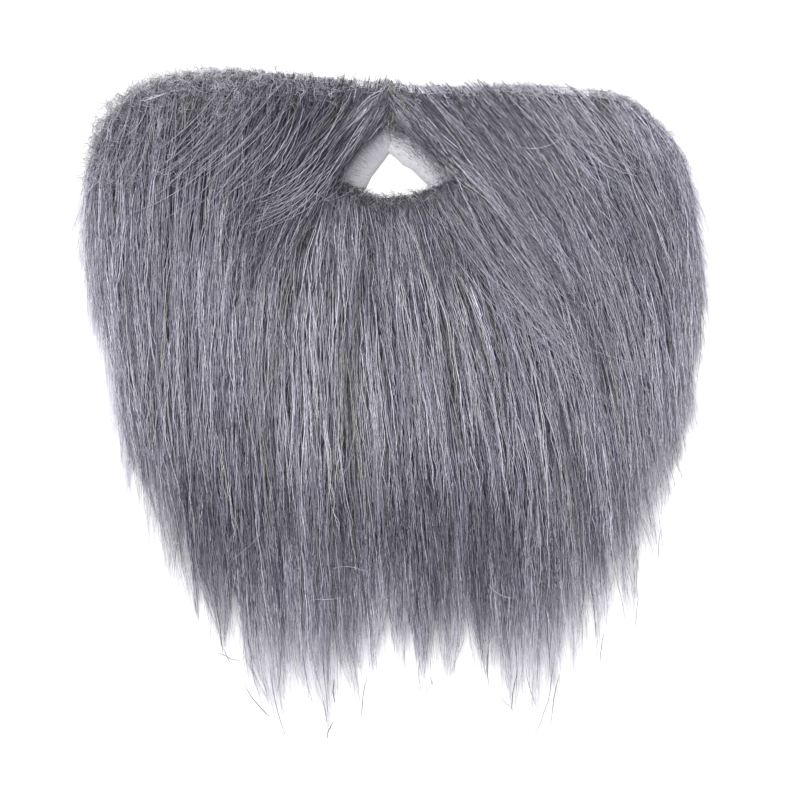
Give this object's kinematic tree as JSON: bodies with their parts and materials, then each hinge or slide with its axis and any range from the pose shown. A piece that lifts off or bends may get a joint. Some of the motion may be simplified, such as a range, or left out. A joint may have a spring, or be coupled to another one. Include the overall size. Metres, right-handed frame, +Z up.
{
  "type": "fake beard",
  "caption": "Full grey fake beard of long pile on a soft cloth backing, with a moustache parted over a mouth opening and an elastic strap behind.",
  "frame": {"origin": "centre of the bounding box at the floor that the beard lies on", "axes": "+Z up out of the hair side, +Y toward the top edge that goes under the nose, +X toward the right of the beard as seen from its hair side"},
  "size_m": [0.2808, 0.2844, 0.0177],
  "materials": {
    "hair": "long straight synthetic hair, grey with light and dark strands",
    "lip_hair": "long straight synthetic hair, swept to the side",
    "cloth": "soft knitted backing cloth, matt",
    "elastic": "narrow woven elastic, matt"
  },
  "bodies": {
    "root": {"backing_cloth": "cloth", "beard_pile": "hair", "moustache_left": "lip_hair", "moustache_right": "lip_hair", "elastic_strap": "elastic"}
  },
  "joints": []
}
